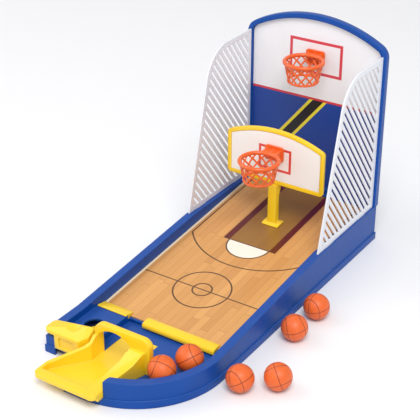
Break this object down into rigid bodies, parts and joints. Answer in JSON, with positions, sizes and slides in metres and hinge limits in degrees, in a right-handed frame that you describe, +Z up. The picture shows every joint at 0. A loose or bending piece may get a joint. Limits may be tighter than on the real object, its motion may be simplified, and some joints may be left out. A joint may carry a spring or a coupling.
{
  "type": "tabletop basketball game",
  "caption": "Tabletop basketball game with sloping court, press lever launcher, ball return, barred side fences and hoops on an arched back panel and a small board.",
  "frame": {"origin": "on the table, under the middle of the court's width, at the base's middle cross rib", "axes": "+X to the player's right, +Y from the player to the back panel, +Z up"},
  "size_m": [0.2065, 0.3793, 0.223],
  "materials": {
    "blue_plastic": "glossy moulded blue, slightly mottled",
    "dark_blue_plastic": "satin moulded, ejector marks",
    "court_print": "printed wood court, satin coat",
    "panel_print": "printed white and navy, satin coat",
    "board_print": "printed white with a red target",
    "yellow_plastic": "glossy moulded yellow",
    "lever_yellow": "glossy moulded yellow, worn finger dish",
    "white_plastic": "satin moulded white",
    "orange_plastic": "glossy moulded orange",
    "ball_orange": "fine pebbled orange with dark seams",
    "steel": "zinc plated",
    "spring_steel": "drawn wire"
  },
  "bodies": {
    "game": {"base_shell": "blue_plastic", "court_card": "court_print", "court_bar_left": "yellow_plastic", "court_bar_right": "yellow_plastic", "return_chute": "yellow_plastic", "lever_carrier": "dark_blue_plastic", "lever_pin": "steel", "lever_spring": "spring_steel", "back_frame": "blue_plastic", "back_card": "panel_print", "side_fence_left": "white_plastic", "side_fence_right": "white_plastic", "hoop_post": "yellow_plastic", "lower_board_frame": "yellow_plastic", "lower_board": "board_print", "lower_hoop": "orange_plastic", "upper_hoop": "orange_plastic", "carrier_screws": "steel", "chute_screws": "steel", "board_screws": "steel", "hoop_screws": "steel"},
    "lever": {"launch_lever": "lever_yellow"},
    "ball_1": {"ball_1": "ball_orange"},
    "ball_2": {"ball_2": "ball_orange"},
    "ball_3": {"ball_3": "ball_orange"},
    "ball_4": {"ball_4": "ball_orange"},
    "ball_5": {"ball_5": "ball_orange"},
    "ball_6": {"ball_6": "ball_orange"}
  },
  "joints": [
    {"name": "lever_press", "type": "hinge", "parent": "game", "child": "lever", "pos_m": [-0.05, -0.152, 0.0092], "axis": [1, 0, 0], "range_deg": [0, 11], "stiffness_Nm_per_rad": 0.05, "springref_deg": -17.19, "deforming": ["lever_spring"]},
    {"name": "ball_1_lift", "type": "slide", "parent": "game", "child": "ball_1", "axis": [0, 0, 1], "range_m": [0, 0.1]},
    {"name": "ball_2_lift", "type": "slide", "parent": "game", "child": "ball_2", "axis": [0, 0, 1], "range_m": [0, 0.1]},
    {"name": "ball_3_lift", "type": "slide", "parent": "game", "child": "ball_3", "axis": [0, 0, 1], "range_m": [0, 0.1]},
    {"name": "ball_4_lift", "type": "slide", "parent": "game", "child": "ball_4", "axis": [0, 0, 1], "range_m": [0, 0.1]},
    {"name": "ball_5_lift", "type": "slide", "parent": "game", "child": "ball_5", "axis": [0, 0, 1], "range_m": [0, 0.1]},
    {"name": "ball_6_lift", "type": "slide", "parent": "game", "child": "ball_6", "axis": [0, 0, 1], "range_m": [0, 0.1]}
  ]
}
